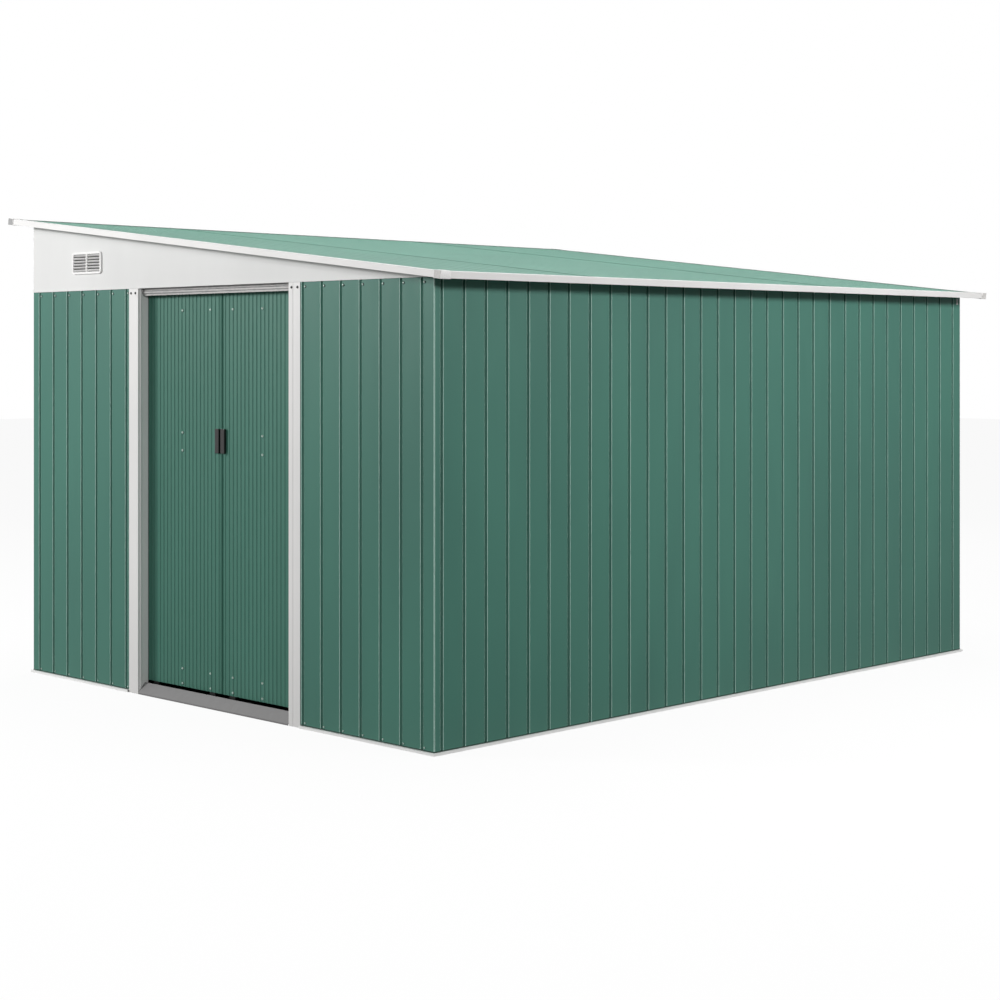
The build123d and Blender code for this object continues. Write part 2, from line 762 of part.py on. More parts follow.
# Doors, drawn once on the left and mirrored to the right
door_left_edge = -half_opening - door_overlap
door_meeting_edge = -door_gap / 2
door_plane = wall_plane(front, half_depth + door_face, door_bottom)
door_start = door_plane.from_local_coords((door_gap / 2, 0, 0))
door_first_rib = door_hem + door_rib_foot / 2
door_ribs = even_places(door_first_rib, door_width - door_first_rib, door_rib_pitch)
door_outline = pressed(0, door_width, door_ribs, door_rib_crest, door_rib_foot, door_rib_height)
hem_place = -stiffener_depth / 2

with BuildPart() as door_left_panel:
    with BuildSketch(door_plane.shift_origin(door_start)):
        Polygon(*door_outline, align=None)
        with Locations((sheet / 2, hem_place), (door_width - sheet / 2, hem_place)):
            Rectangle(sheet, stiffener_depth)
    extrude(amount=door_top - door_bottom)

stiffener_start = door_gap / 2 + sheet + seat
stiffener_run = door_width - 2 * (sheet + seat)
middle_stiffener = handle_height - middle_stiffener_drop - middle_stiffener_height / 2
upper_stiffener = door_top - upper_stiffener_drop - upper_stiffener_height
stiffeners = [
    (lower_stiffener, lower_stiffener_height),
    (middle_stiffener, middle_stiffener_height),
    (upper_stiffener, upper_stiffener_height),
]
with BuildPart() as door_left_stiffeners:
    for foot, height in stiffeners:
        points = [
            (stiffener_face - stiffener_depth, foot + stiffener_lip),
            (stiffener_face - stiffener_depth, foot),
            (stiffener_face, foot),
            (stiffener_face, foot + height),
            (stiffener_face - stiffener_depth, foot + height),
            (stiffener_face - stiffener_depth, foot + height - stiffener_lip),
        ]
        with BuildSketch(section_plane(front, half_depth, stiffener_start)):
            Polygon(*folded(points, sheet), align=None)
        extrude(amount=stiffener_run)

handle_back = door_crest + seat
handle_x = door_meeting_edge - handle_inset - handle_width / 2
with BuildPart() as door_left_handle:
    with BuildSketch(Plane(origin=front * (half_depth + handle_back), x_dir=(1, 0, 0), z_dir=front)):
        with Locations((handle_x, handle_height)):
            RectangleRounded(handle_width, handle_length, handle_round)
    extrude(amount=handle_depth)
    fillet(door_left_handle.faces().sort_by(Axis.Y)[0].edges(), handle_edge)

# Sliders on the track's lip, each on a plate, and tabs in the lower guide
track_shelf = track_foot + rail_sheet + seat
slider_top = track_shelf + slider_height
slider_places = [door_left_edge + slider_inset, door_meeting_edge - slider_inset]
with BuildPart() as door_left_sliders:
    for place in slider_places:
        with BuildSketch(section_plane(front, half_depth, -place - slider_length / 2)):
            with Locations((slider_back, track_shelf)):
                Rectangle(slider_depth, slider_height, align=Align.MIN)
            with Locations((slider_front - hanger, upper_stiffener)):
                Rectangle(hanger, slider_top - upper_stiffener, align=Align.MIN)
            with Locations((stiffener_face - tab_thickness, tab_foot)):
                Rectangle(tab_thickness, lower_stiffener - seat - tab_foot, align=Align.MIN)
        extrude(amount=slider_length)

save(door_left_panel, "door_left_panel")
save(door_left_stiffeners, "door_left_stiffeners")
save(door_left_handle, "door_left_handle")
save(door_left_sliders, "door_left_sliders")

for name, piece in [
    ("panel", door_left_panel),
    ("stiffeners", door_left_stiffeners),
    ("handle", door_left_handle),
    ("sliders", door_left_sliders),
]:
    with BuildPart() as door_right_piece:
        add(mirror(piece.part, about=Plane.YZ, mode=Mode.PRIVATE))
    save(door_right_piece, f"door_right_{name}")
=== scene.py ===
"""Finishes, fixings and small parts of the metal storage shed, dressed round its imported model.

Metres, +Z up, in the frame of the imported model: the doors face -Y and the roof falls towards +X.
"""
import logging
import math
from collections.abc import Callable
from dataclasses import dataclass, field
from enum import Enum

import bmesh
import bpy
from mathutils import Matrix, Vector


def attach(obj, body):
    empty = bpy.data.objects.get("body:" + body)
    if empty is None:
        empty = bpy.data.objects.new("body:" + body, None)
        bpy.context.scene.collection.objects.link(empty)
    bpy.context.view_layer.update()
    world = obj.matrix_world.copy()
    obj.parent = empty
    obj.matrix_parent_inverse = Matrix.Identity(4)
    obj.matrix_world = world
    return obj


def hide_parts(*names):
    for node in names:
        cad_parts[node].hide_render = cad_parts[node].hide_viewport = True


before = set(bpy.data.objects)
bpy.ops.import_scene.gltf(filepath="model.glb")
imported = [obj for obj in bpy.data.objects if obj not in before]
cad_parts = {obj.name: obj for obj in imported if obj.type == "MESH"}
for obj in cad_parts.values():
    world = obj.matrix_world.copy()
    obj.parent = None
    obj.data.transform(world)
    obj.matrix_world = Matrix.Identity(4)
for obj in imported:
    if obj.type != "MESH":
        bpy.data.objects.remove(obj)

LOG = logging.getLogger("shed")
MM = 0.001
HAIR = 0.1  # mm, slack in finding a height
FACING = 0.9  # cosine above which a face counts as facing a direction
LEVEL = 0.99  # cosine above which a face counts as square to a direction
SMOOTH_BELOW = 35.0  # degrees between faces, under which their edge is shaded smooth
NOISE_LOW, NOISE_HIGH = 0.3, 0.7  # ends of the range that most of the noise keeps to


def mm(*values: float) -> Vector:
    """A point in metres from its millimetres."""
    return Vector(values) * MM


def linear(colour: str) -> tuple[float, float, float, float]:
    """Turn a colour written in sRGB hex into linear light, by the sRGB curve.

    Args:
        colour: six hex digits after a hash.

    Returns:
        Red, green, blue and an alpha of one.
    """
    parts = [int(colour[place : place + 2], 16) / 255 for place in (1, 3, 5)]
    light = [part / 12.92 if part <= 0.04045 else ((part + 0.055) / 1.055) ** 2.4 for part in parts]
    return (*light, 1.0)


def shade(colour: str, factor: float) -> str:
    """A colour made lighter or darker.

    Args:
        colour: six hex digits after a hash.
        factor: what each sRGB part is multiplied by.

    Returns:
        The new colour, in hex.
    """
    parts = [min(255, round(int(colour[place : place + 2], 16) * factor)) for place in (1, 3, 5)]
    return "#" + "".join(f"{part:02X}" for part in parts)


def add_node(
    tree: bpy.types.NodeTree,
    kind: str,
    settings: dict[str | int, object] | None = None,
    **links: bpy.types.NodeSocket,
) -> bpy.types.Node:
    """Add one node with its settings and what feeds it.

    Args:
        tree: the material's node tree.
        kind: the node's type, without the ShaderNode in front.
        settings: attributes of the node, and values of its inputs by name or number.
        links: output sockets by the name of the input they feed, with _ for a space,
            or by i and the input's number.

    Returns:
        The new node.
    """
    node = tree.nodes.new("ShaderNode" + kind)
    for name, value in (settings or {}).items():
        if isinstance(name, int) or name in node.inputs:
            node.inputs[name].default_value = value
        else:
            setattr(node, name, value)
    for name, socket in links.items():
        key = int(name[1:]) if name[0] == "i" and name[1:].isdigit() else name.replace("_", " ")
        tree.links.new(socket, node.inputs[key])
    return node


def ramp(
    tree: bpy.types.NodeTree, factor: bpy.types.NodeSocket, stops: list[tuple[float, str]]
) -> bpy.types.NodeSocket:
    """Colours along a factor.

    Args:
        tree: the material's node tree.
        factor: the socket that picks the colour.
        stops: place and sRGB hex colour of each stop, in order.

    Returns:
        The colour socket.
    """
    node = add_node(tree, "ValToRGB", Fac=factor)
    elements = node.color_ramp.elements
    while len(elements) < len(stops):
        elements.new(0.5)
    for element, (place, colour) in zip(elements, stops):
        element.position = place
        element.color = linear(colour)
    return node.outputs["Color"]


@dataclass(frozen=True)
class Finish:
    """A finish of the shed, made into one material.

    fold_radius is how far, in millimetres, the light sees its folds rounded.
    """

    name: str
    colour: str
    roughness: float
    metallic: float = 0.0
    fold_radius: float = 0.0
    specular: float = 0.5

    def material(self) -> bpy.types.Material:
        """Build the finish's material once.

        Returns:
            The material, with its pattern on Object coordinates.
        """
        made = bpy.data.materials.get(self.name)
        if made:
            return made
        made = bpy.data.materials.new(self.name)
        made.use_nodes = True
        tree = made.node_tree
        shader = tree.nodes["Principled BSDF"]
        shader.inputs["Base Color"].default_value = linear(self.colour)
        shader.inputs["Roughness"].default_value = self.roughness
        shader.inputs["Metallic"].default_value = self.metallic
        shader.inputs["Specular IOR Level"].default_value = self.specular
        place = add_node(tree, "TexCoord").outputs["Object"]
        self.dress(tree, shader, place)
        return made

    def dress(self, tree: bpy.types.NodeTree, shader: bpy.types.Node, place: bpy.types.NodeSocket) -> None:
        """Add the finish's own pattern to its shader.

        Args:
            tree: the material's node tree.
            shader: its Principled BSDF.
            place: the Object coordinates, in metres.
        """

    def bump(
        self,
        tree: bpy.types.NodeTree,
        shader: bpy.types.Node,
        layers: list[tuple[bpy.types.NodeSocket, float]],
    ) -> None:
        """Stack bump layers on the shader.

        Args:
            tree: the material's node tree.
            shader: its Principled BSDF.
            layers: height socket and depth in metres of each layer.
        """
        normal = None
        if self.fold_radius:
            rounding = {"samples": 6, "Radius": self.fold_radius * MM}
            normal = add_node(tree, "Bevel", rounding).outputs["Normal"]
        for height, depth in layers:
            feeds = {"Height": height} if normal is None else {"Height": height, "Normal": normal}
            normal = add_node(tree, "Bump", {"Strength": 1.0, "Distance": depth}, **feeds).outputs["Normal"]
        tree.links.new(normal, shader.inputs["Normal"])


def noise(
    tree: bpy.types.NodeTree,
    place: bpy.types.NodeSocket,
    size: float,
    detail: float = 2.0,
    stretch: tuple[float, float, float] | None = None,
) -> bpy.types.NodeSocket:
    """Noise whose spots have a real size.

    Args:
        tree: the material's node tree.
        place: coordinates in metres.
        size: size of a spot in millimetres.
        detail: octaves.
        stretch: how many times longer the spots are along X, Y and Z.

    Returns:
        The factor socket.
    """
    if stretch is not None:
        scale = tuple(1 / part for part in stretch)
        place = add_node(tree, "Mapping", {"Scale": scale}, Vector=place).outputs["Vector"]
    settings = {"Scale": 1 / (size * MM), "Detail": detail, "Roughness": 0.55}
    return add_node(tree, "TexNoise", settings, Vector=place).outputs["Fac"]


@dataclass(frozen=True)
class CoilCoatedSteel(Finish):
    """Polyester coil-coated steel sheet, roll formed.

    The eye sees an even satin colour, a slow waviness of the thin sheet between its folds,
    a faint orange peel in the coating, and a little dust low down. The lips of the folds catch
    the light, and the material paints a thin highlight into the colour of each lip that faces the front
    right.
    """

    mottle: float = 420.0  # size of the coating's paler and darker areas, mm
    mottle_stretch: tuple[float, float, float] = (1, 1, 3)
    darker: float = 0.96
    paler: float = 1.04
    dusty: str = "#6F8A7C"
    dust_height: float = 0.16  # m above the ground
    dust_share: float = 0.10
    streak: float = 26.0  # width of a streak of dust, mm
    streak_stretch: tuple[float, float, float] = (1, 1, 7)
    buckle: float = 260.0  # width of the thin sheet's waves, mm
    buckle_stretch: tuple[float, float, float] = (1, 1, 2.5)
    wave: float = 0.00035  # depth of the waves, m
    duller: float = 0.04  # roughness that a streak adds
    glossier: float = 0.03  # roughness that its lack takes away
    peel: float = 5.0  # mm, where real orange peel is about 1: the finest that shows
    peel_depth: float = 0.00002  # m
    # painted highlight: the pale colour that the lips facing the front right are painted with
    lip_highlight: str = "#BFDDD3"
    highlight_gain: float = 7.0  # gain from the lean of a lip to its painted highlight
    lip: float = 2.0  # reach of the rounding that finds a lip, as a multiple of fold_radius

    def dress(self, tree: bpy.types.NodeTree, shader: bpy.types.Node, place: bpy.types.NodeSocket) -> None:
        """Add the coating's mottle, dust, painted highlights on the lips, waviness and orange peel.

        Args:
            tree: the material's node tree.
            shader: its Principled BSDF.
            place: the Object coordinates, in metres.
        """
        mottle = noise(tree, place, self.mottle, 3, self.mottle_stretch)
        stops = [(NOISE_LOW, shade(self.colour, self.darker)), (NOISE_HIGH, shade(self.colour, self.paler))]
        tone = ramp(tree, mottle, stops)
        height = add_node(tree, "SeparateXYZ", Vector=place).outputs["Z"]
        fade = {"From Min": self.dust_height, "From Max": 0.0, "To Min": 0.0, "To Max": self.dust_share}
        low = add_node(tree, "MapRange", fade, Value=height).outputs["Result"]
        streaks = noise(tree, place, self.streak, 4, self.streak_stretch)
        dust = add_node(tree, "Math", {"operation": "MULTIPLY"}, i0=low, i1=streaks).outputs["Value"]
        dirt = {"data_type": "RGBA", 7: linear(self.dusty)}
        dusted = add_node(tree, "Mix", dirt, i0=dust, i6=tone).outputs[2]
        # paints the lips' highlight into the colour
        highlighted = {"data_type": "RGBA", 7: linear(self.lip_highlight)}
        colour = add_node(tree, "Mix", highlighted, i0=self.painted_lip_highlights(tree), i6=dusted).outputs[2]
        tree.links.new(colour, shader.inputs["Base Color"])
        gloss = {
            "From Min": NOISE_LOW,
            "From Max": NOISE_HIGH,
            "To Min": self.roughness - self.glossier,
            "To Max": self.roughness + self.duller,
        }
        rough = add_node(tree, "MapRange", gloss, Value=streaks).outputs["Result"]
        tree.links.new(rough, shader.inputs["Roughness"])
        waves = noise(tree, place, self.buckle, 1, self.buckle_stretch)
        peel = noise(tree, place, self.peel, 1)
        self.bump(tree, shader, [(waves, self.wave), (peel, self.peel_depth)])

    def painted_lip_highlights(self, tree: bpy.types.NodeTree) -> bpy.types.NodeSocket:
        """Find where to paint the lips' highlight, from how far a rounded normal leans to the front right.

        Args:
            tree: the material's node tree.

        Returns:
            A socket that is 0 on the flats and rises to 1 at a lip, where the highlight is painted.
        """
        reach = self.lip * self.fold_radius * MM
        rounded = add_node(tree, "Bevel", {"samples": 8, "Radius": reach}).outputs["Normal"]
        flat = add_node(tree, "NewGeometry").outputs["Normal"]
        lean = add_node(tree, "VectorMath", {"operation": "SUBTRACT"}, i0=rounded, i1=flat).outputs["Vector"]
        front_right = (math.sqrt(0.5), -math.sqrt(0.5), 0.0)
        facing = {"operation": "DOT_PRODUCT", 1: front_right}
        toward = add_node(tree, "VectorMath", facing, i0=lean).outputs["Value"]
        gain = {"operation": "MULTIPLY", "use_clamp": True, 1: self.highlight_gain}
        return add_node(tree, "Math", gain, i0=toward).outputs["Value"]


@dataclass(frozen=True)
class WhiteCoatedSteel(Finish):
    """White polyester coated steel, brake folded.

    The eye sees a clean satin white with the faintest warmth, and a slight waviness.
    """

    mottle: float = 300.0  # size of the coating's paler and darker areas, mm
    mottle_stretch: tuple[float, float, float] = (1, 1, 2)
    darker: float = 0.97
    paler: float = 1.0
    buckle: float = 180.0  # height of the waves, mm
    buckle_stretch: tuple[float, float, float] = (2, 2, 1)
    wave: float = 0.0001  # depth of the waves, m
    peel: float = 5.0  # mm, as on the green sheets
    peel_depth: float = 0.000015  # m

    def dress(self, tree: bpy.types.NodeTree, shader: bpy.types.Node, place: bpy.types.NodeSocket) -> None:
        """Add the coating's mottle, waviness and orange peel.

        Args:
            tree: the material's node tree.
            shader: its Principled BSDF.
            place: the Object coordinates, in metres.
        """
        mottle = noise(tree, place, self.mottle, 3, self.mottle_stretch)
        stops = [(NOISE_LOW, shade(self.colour, self.darker)), (NOISE_HIGH, shade(self.colour, self.paler))]
        tone = ramp(tree, mottle, stops)
        tree.links.new(tone, shader.inputs["Base Color"])
        waves = noise(tree, place, self.buckle, 1, self.buckle_stretch)
        peel = noise(tree, place, self.peel, 1)
        self.bump(tree, shader, [(waves, self.wave), (peel, self.peel_depth)])


@dataclass(frozen=True)
class GalvanisedSteel(Finish):
    """Hot-dip galvanised steel, with a matt film on the zinc.

    The eye sees a cool mid grey broken into soft spangles, some duller than others.
    """

    spangle: float = 14.0  # mm
    contrast: float = 0.06  # in colour and in roughness
    grain: float = 6.0  # mm
    grain_depth: float = 0.00003  # m

    def dress(self, tree: bpy.types.NodeTree, shader: bpy.types.Node, place: bpy.types.NodeSocket) -> None:
        """Add the spangles and a rolled grain.

        Args:
            tree: the material's node tree.
            shader: its Principled BSDF.
            place: the Object coordinates, in metres.
        """
        crystals = {"Scale": 1 / (self.spangle * MM), "Randomness": 1.0}
        cells = add_node(tree, "TexVoronoi", crystals, Vector=place)
        dull, bright = shade(self.colour, 1 - self.contrast), shade(self.colour, 1 + self.contrast)
        tone = ramp(tree, cells.outputs["Color"], [(0.1, dull), (0.9, bright)])
        tree.links.new(tone, shader.inputs["Base Color"])
        gloss = {"To Min": self.roughness - self.contrast, "To Max": self.roughness + self.contrast}
        rough = add_node(tree, "MapRange", gloss, Value=cells.outputs["Color"]).outputs["Result"]
        tree.links.new(rough, shader.inputs["Roughness"])
        grain = noise(tree, place, self.grain, 2)
        self.bump(tree, shader, [(grain, self.grain_depth)])


@dataclass(frozen=True)
class MouldedPlastic(Finish):
    """Injection-moulded plastic with a fine spark-eroded texture.

    The eye sees an even colour and a soft broken gloss. The washers' rubber, the dark foot strips
    and the vents' screens, which also paint shade, take the same pattern, with less gloss.
    """

    grain: float = 3.0  # mm, where the real texture is about 0.3: the finest that shows
    depth: float = 0.00004  # m
    darker: float = 0.96
    paler: float = 1.03
    spread: tuple[float, float] = (0.35, 0.65)  # the part of the noise that the colour follows

    def dress(self, tree: bpy.types.NodeTree, shader: bpy.types.Node, place: bpy.types.NodeSocket) -> None:
        """Add the mould's texture.

        Args:
            tree: the material's node tree.
            shader: its Principled BSDF.
            place: the Object coordinates, in metres.
        """
        grain = noise(tree, place, self.grain, 2)
        tones = shade(self.colour, self.darker), shade(self.colour, self.paler)
        tone = ramp(tree, grain, list(zip(self.spread, tones)))
        tree.links.new(tone, shader.inputs["Base Color"])
        self.bump(tree, shader, [(grain, self.depth)])


WALL_GREEN = CoilCoatedSteel("coil_coated_green_wall_steel", "#417265", 0.48, fold_radius=2.5, specular=0.2)
DOOR_GREEN = CoilCoatedSteel(
    "coil_coated_green_door_steel", "#3F7062", 0.48, fold_radius=1.0, specular=0.2, wave=0.0001, highlight_gain=1.2
)
ROOF_GREEN = CoilCoatedSteel(
    "coil_coated_green_roof_steel", "#447B6A", 0.5, fold_radius=2.5, specular=0.2, wave=0.0001
)
PLATE_WHITE = WhiteCoatedSteel("polyester_coated_plate_steel", "#D8D8D7", 0.45, specular=0.3)
TRIM_WHITE = WhiteCoatedSteel("polyester_coated_trim_steel", "#E6E5E4", 0.45, fold_radius=1.5, specular=0.3)
# painted light: the rails' white is paler than the trims' same coated steel, to make up for the little light
# that reaches their faces at the foot
RAIL_WHITE_PAINTED_LIGHT = WhiteCoatedSteel("polyester_coated_base_rail_steel", "#F9F9F8", 0.4)
ZINC_RAIL = GalvanisedSteel("galvanised_rail_steel", "#7E7D7C", 0.45, 0.35)
ZINC_RAMP = GalvanisedSteel("galvanised_ramp_steel", "#6E6D6D", 0.5, 0.1, spangle=30.0, contrast=0.02)
VENT_PLASTIC = MouldedPlastic("moulded_white_vent_plastic", "#E8E7E6", 0.4)
CAP_PLASTIC = MouldedPlastic("moulded_white_cap_plastic", "#E8E7E6", 0.45)
CAP_END_LIGHT = MouldedPlastic("moulded_light_grey_cap_end", "#C9C7C5", 0.6, grain=4.0, depth=0.0003)
# painted shade: the same textured end as the light grey one, darkened for the high corners, which sit in
# shade
CAP_END_PAINTED_SHADE = MouldedPlastic("moulded_dark_grey_cap_end", "#929292", 0.6, grain=4.0, depth=0.0001)
HANDLE_PLASTIC = MouldedPlastic("gloss_black_handle_abs", "#0B0B0B", 0.22)
NYLON = MouldedPlastic("moulded_black_nylon_slider", "#151515", 0.4)
SCREW_ZINC = GalvanisedSteel("zinc_plated_screw_steel", "#A6BBB2", 0.4, 0.1, spangle=2.0)
SCREW_DARK = GalvanisedSteel("oxide_blackened_screw_steel", "#2A2B2B", 0.4, 0.5, spangle=2.0)
# painted shade: a near-black strip along the walls' feet, where there is only a shadowed gap
FOOT_SHADE_PAINT = MouldedPlastic("painted_shade_foot_strip", "#1D352D", 0.8)
# rubber and painted shadow: the near-black washers also stand for the shadow round each screw head
RUBBER_AND_SHADOW = MouldedPlastic("moulded_epdm_washer_rubber", "#141616", 0.7)
# partly painted shade: the screen is near-black to darken the vent's slots
SCREEN_AND_SLOT_SHADE = MouldedPlastic("woven_insect_screen", "#151616", 0.8)


class Wall(Enum):
    """Walls by the direction that they face."""

    FRONT = (0, -1, 0)
    BACK = (0, 1, 0)

    def turn(self) -> Matrix:
        """Rotation that turns +Z out of the wall."""
        return Vector((0, 0, 1)).rotation_difference(Vector(self.value)).to_matrix().to_4x4()


def edit_new(add: Callable[..., set[str]], **settings: object) -> bpy.types.Object:
    """Add a primitive with nothing else selected and go into its edit mode.

    Args:
        add: the operator that adds it.
        settings: the operator's settings.

    Returns:
        The new object, in edit mode and selected all over.
    """
    bpy.ops.object.select_all(action="DESELECT")
    add(**settings)
    made = bpy.context.object
    bpy.ops.object.mode_set(mode="EDIT")
    return made


def select_faces(made: bpy.types.Object, wanted: Callable[[Vector, Vector], bool]) -> None:
    """Select the faces that a test picks, in edit mode.

    Args:
        made: the object that is edited.
        wanted: a test on a face's centre and normal.
    """
    bpy.ops.mesh.select_mode(type="FACE")
    bpy.ops.mesh.select_all(action="DESELECT")
    mesh = bmesh.from_edit_mesh(made.data)
    for face in mesh.faces:
        face.select = wanted(face.calc_center_median(), face.normal)
    mesh.select_flush_mode()
    bmesh.update_edit_mesh(made.data)


def finish_piece(made: bpy.types.Object, name: str, body: str, finish: Finish) -> None:
    """Name a piece, shade it, dress it and set it on its body.

    Args:
        made: the piece, in object mode, with its place in its mesh.
        name: the piece's name.
        body: the body that it rides on.
        finish: its finish.
    """
    bpy.ops.object.select_all(action="DESELECT")
    made.select_set(True)
    bpy.context.view_layer.objects.active = made
    bpy.ops.object.transform_apply(location=True, rotation=True, scale=True)
    bpy.ops.object.shade_smooth_by_angle(angle=math.radians(SMOOTH_BELOW))
    made.name = name
    made.data.name = name
    made.data.materials.clear()
    made.data.materials.append(finish.material())
    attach(made, body)
    LOG.info("%s rides on %s: %d faces", name, body, len(made.data.polygons))


def merged_copies(pattern: bpy.types.Object, places: list[Matrix]) -> bpy.types.Object:
    """Copy a small pattern to many places and join the copies into one piece.

    Args:
        pattern: the object that is copied and then removed.
        places: where each copy goes.

    Returns:
        The joined piece, with its own mesh.
    """
    mesh = bmesh.new()
    for place in places:
        copy = pattern.data.copy()
        copy.transform(place)
        mesh.from_mesh(copy)
        bpy.data.meshes.remove(copy)
    joined = bpy.data.meshes.new("joined")
    mesh.to_mesh(joined)
    mesh.free()
    made = bpy.data.objects.new("joined", joined)
    bpy.context.scene.collection.objects.link(made)
    bpy.data.objects.remove(pattern)
    return made


@dataclass
class Fixing:
    """A pan head screw with a dark washer, whose ring also paints the shadow round the head; its axis on Z
    and its seat at zero, in millimetres.
    """

    head_radius: float = 3.3
    head_height: float = 2.6
    washer_radius: float = 5.6
    washer_height: float = 1.0
    recess: float = 1.1  # rim left round the driver recess
    recess_share: float = 0.6  # depth of the recess, as a share of that rim
    dome_share: float = 0.45  # rounding of the head, as a share of its height
    rim_share: float = 0.4  # rounding of the washer, as a share of its height
    sides: int = 14

    def head(self) -> bpy.types.Object:
        """Model the domed head with its driver recess.

        Returns:
            The head.
        """
        made = edit_new(
            bpy.ops.mesh.primitive_cylinder_add,
            vertices=self.sides,
            radius=self.head_radius * MM,
            depth=self.head_height * MM,
            location=mm(0, 0, self.washer_height + self.head_height / 2),
        )
        top = (self.washer_height + self.head_height) * MM
        select_faces(made, lambda centre, normal: normal.z > FACING)
        bpy.ops.mesh.bevel(offset=self.head_height * self.dome_share * MM, segments=2, affect="EDGES")
        select_faces(made, lambda centre, normal: normal.z > LEVEL and centre.z > top - HAIR * MM)
        bpy.ops.mesh.inset(thickness=self.recess * MM)
        down = (0, 0, -self.recess * self.recess_share * MM)
        bpy.ops.mesh.extrude_region_move(TRANSFORM_OT_translate={"value": down})
        bpy.ops.object.mode_set(mode="OBJECT")
        bpy.ops.object.transform_apply(location=True, rotation=True, scale=True)
        return made

    def washer(self) -> bpy.types.Object:
        """Model the washer with a rounded rim; its dark ring is partly painted shadow of the head.

        Returns:
            The washer.
        """
        made = edit_new(
            bpy.ops.mesh.primitive_cylinder_add,
            vertices=self.sides,
            radius=self.washer_radius * MM,
            depth=self.washer_height * MM,
            location=mm(0, 0, self.washer_height / 2),
        )
        select_faces(made, lambda centre, normal: normal.z > FACING)
        bpy.ops.mesh.bevel(offset=self.washer_height * self.rim_share * MM, segments=1, affect="EDGES")
        bpy.ops.object.mode_set(mode="OBJECT")
        bpy.ops.object.transform_apply(location=True, rotation=True, scale=True)
        return made

    def place(self, name: str, body: str, wall: Wall, seats: list[Vector], metal: Finish) -> None:
        """Set fixings on a wall.

        Args:
            name: first part of the pieces' names.
            body: the body that they ride on.
            wall: the wall that they stand out of.
            seats: the middle of each seat.
            metal: finish of the heads.
        """
        places = [Matrix.Translation(seat) @ wall.turn() for seat in seats]
        finish_piece(merged_copies(self.head(), places), name + "_heads", body, metal)
        finish_piece(merged_copies(self.washer(), places), name + "_shadow_washers", body, RUBBER_AND_SHADOW)


@dataclass
class WallFixings:
    """Screws of the end walls, beside each groove at the head and foot, in millimetres."""

    half_width: float = 1240.0
    half_depth: float = 1637.5
    right_grooves: tuple[float, float] = (60.0, 690.0)
    left_grooves: tuple[float, float] = (49.0, 683.0)
    count: int = 7
    beside: float = 13.0  # from a groove to its screws
    head_row: float = 1593.0
    foot_row: float = 21.0

    def groove_places(self) -> list[float]:
        """Find the middles of the end walls' grooves across the shed.

        Returns:
            The X of each, in millimetres.
        """
        places = []
        for (first, last), side in ((self.right_grooves, 1), (self.left_grooves, -1)):
            for index in range(self.count):
                inward = first + (last - first) * index / (self.count - 1)
                places.append(side * (self.half_width - inward))
        return places

    def build(self) -> None:
        """Set the screws on the front and back walls."""
        head_screw = Fixing(head_radius=3.4, head_height=2.4, washer_radius=5.2, washer_height=1.2)
        foot_screw = Fixing(head_radius=3.2, head_height=2.4, washer_radius=3.6, washer_height=0.6)
        for wall, sign in ((Wall.FRONT, -1), (Wall.BACK, 1)):
            for part, screw, row in (
                ("head", head_screw, self.head_row),
                ("foot", foot_screw, self.foot_row),
            ):
                seats = [mm(x + self.beside, sign * self.half_depth, row) for x in self.groove_places()]
                screw.place(f"wall_{part}_screws_{wall.name.lower()}", "shed", wall, seats, SCREW_ZINC)


@dataclass
class PostFixings:
    """Two screws at the head of each door post, in millimetres."""

    inner: float = 472.0  # inner edge of a post, from the middle of the doorway
    face: float = 1639.0
    step: float = 1.2  # the part of a post's face beside the doorway stands this much forward
    columns: tuple[float, float] = (17.0, 49.0)
    head_row: float = 1592.0

    def build(self) -> None:
        """Set the screws on both posts."""
        seats = []
        for side in (-1, 1):
            for column, forward in zip(self.columns, (self.step, 0.0)):
                seats.append(mm(side * (self.inner + column), -self.face - forward, self.head_row))
        Fixing(head_radius=4.4, washer_radius=5.2, washer_height=0.5).place(
            "post_screws", "shed", Wall.FRONT, seats, SCREW_DARK
        )


@dataclass
class DoorFixings:
    """Bolt heads that hold the stiffeners behind each door, in millimetres."""

    face: float = 1583.2
    columns: tuple[float, float] = (70.0, 250.0)
    rows: tuple[float, ...] = (1520.0, 121.0, 63.0)
    outer_rows: tuple[float, ...] = (1043.0, 973.0)

    def build(self) -> None:
        """Set the bolts on both doors."""
        for body, side in (("door_left", -1), ("door_right", 1)):
            seats = [mm(side * column, -self.face, row) for column in self.columns for row in self.rows]
            seats += [mm(side * self.columns[1], -self.face, row) for row in self.outer_rows]
            Fixing(head_radius=4.6, head_height=4.0, washer_radius=5.4, washer_height=0.8).place(
                f"{body}_bolts", body, Wall.FRONT, seats, SCREW_ZINC
            )


@dataclass
class VentScreen:
    """Insect screen behind a louvred vent, near-black so that it also paints the shade in the vent's slots,
    in millimetres.
    """

    middle: Vector = field(default_factory=lambda: mm(-834.0, 0, 1723.0))
    width: float = 204.0
    height: float = 84.0
    thickness: float = 0.8
    rounding: float = 0.06  # share of each side
    inset: float = 3.0
    half_depth: float = 1637.5

    def build(self) -> None:
        """Set a screen behind the front vent and the back vent."""
        for name, sign in (("front", -1), ("back", 1)):
            made = edit_new(bpy.ops.mesh.primitive_cube_add, size=1.0)
            bpy.ops.mesh.bevel(offset=self.rounding, segments=2, affect="EDGES")
            bpy.ops.object.mode_set(mode="OBJECT")
            made.scale = mm(self.width, self.thickness, self.height)
            made.location = mm(0, sign * (self.half_depth - self.inset), 0) + self.middle
            finish_piece(made, f"vent_screen_{name}", "shed", SCREEN_AND_SLOT_SHADE)


